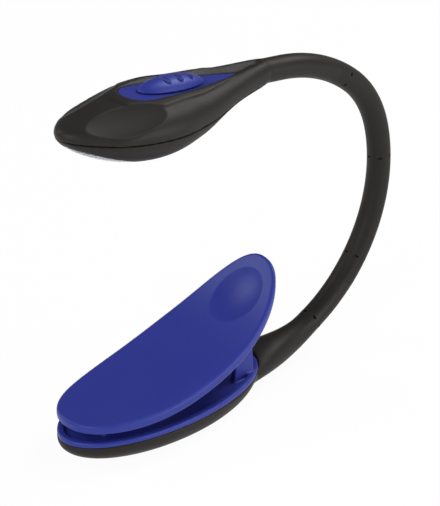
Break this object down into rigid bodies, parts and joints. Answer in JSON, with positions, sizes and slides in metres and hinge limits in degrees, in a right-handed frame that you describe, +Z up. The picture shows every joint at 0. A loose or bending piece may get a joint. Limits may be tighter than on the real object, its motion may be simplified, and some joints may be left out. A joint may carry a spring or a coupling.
{
  "type": "clip-on reading lamp",
  "caption": "Cordless clip-on reading lamp: a sprung oval clip with a thumb tab, a bendable rubber neck and a rounded battery head with a slide switch on top.",
  "frame": {"origin": "middle of the flat underside of the clip", "axes": "+X from the nose of the clip back to the neck, +Z up, mirror plane at Y = 0"},
  "size_m": [0.1424, 0.038, 0.1192],
  "materials": {
    "soft_black": "soft matt black coat",
    "rubber_black": "matt black moulded rubber",
    "blue_plastic": "satin blue moulding",
    "black_plastic": "plain black moulding",
    "steel": "bright steel",
    "wire": "soft drawn wire",
    "brass": "bright brass",
    "clear": "clear window",
    "white": "clear light source",
    "mirror": "bright plated cone",
    "board": "lacquered board"
  },
  "bodies": {
    "base": {"base_shell": "soft_black", "clip_tray": "blue_plastic", "hinge_pin": "steel", "torsion_spring": "steel", "tray_screws": "steel", "core_wire_0": "wire", "root_ferrule": "brass"},
    "jaw": {"upper_jaw": "blue_plastic"},
    "neck_1": {"neck_sleeve_1": "rubber_black", "core_wire_1": "wire"},
    "neck_2": {"neck_sleeve_2": "rubber_black", "core_wire_2": "wire"},
    "neck_3": {"neck_sleeve_3": "rubber_black", "core_wire_3": "wire"},
    "neck_4": {"neck_sleeve_4": "rubber_black", "core_wire_4": "wire"},
    "head": {"neck_sleeve_5": "rubber_black", "core_wire_5": "wire", "head_ferrule": "brass", "head_upper_shell": "soft_black", "head_lower_cover": "soft_black", "lens": "clear", "slider_plate": "blue_plastic", "switch_body": "steel", "circuit_board": "board", "led": "white", "reflector": "mirror", "battery_cradle": "black_plastic", "coin_cell_1": "steel", "coin_cell_2": "steel", "cell_contact_top": "brass", "cell_contact_bottom": "brass", "cover_screw": "steel"},
    "slider": {"slider_button": "blue_plastic", "switch_lever": "black_plastic"}
  },
  "joints": [
    {"name": "jaw_hinge", "type": "hinge", "parent": "base", "child": "jaw", "pos_m": [0.0285, 0, 0.0166], "axis": [0, 1, 0], "range_deg": [0, 22], "stiffness_Nm_per_rad": 0.3, "springref_deg": -34.38, "deforming": ["torsion_spring"]},
    {"name": "neck_pitch_1", "type": "hinge", "parent": "base", "child": "neck_1", "pos_m": [0.0697, 0, 0.01145], "axis": [0, 1, 0], "range_deg": [-5, 25]},
    {"name": "neck_side_2", "type": "hinge", "parent": "neck_1", "child": "neck_2", "pos_m": [0.09115, 0, 0.03187], "axis": [-0.8619, 0, 0.5071], "range_deg": [-30, 30]},
    {"name": "neck_pitch_3", "type": "hinge", "parent": "neck_2", "child": "neck_3", "pos_m": [0.09858, 0, 0.06053], "axis": [0, 1, 0], "range_deg": [-12, 35]},
    {"name": "neck_side_4", "type": "hinge", "parent": "neck_3", "child": "neck_4", "pos_m": [0.08884, 0, 0.08829], "axis": [-0.7637, 0, -0.6456], "range_deg": [-30, 30]},
    {"name": "neck_pitch_5", "type": "hinge", "parent": "neck_4", "child": "head", "pos_m": [0.06579, 0, 0.10369], "axis": [0, 1, 0], "range_deg": [-15, 35]},
    {"name": "slider_switch", "type": "slide", "parent": "head", "child": "slider", "axis": [-0.9898, 0, 0.1426], "range_m": [0, 0.004]}
  ]
}
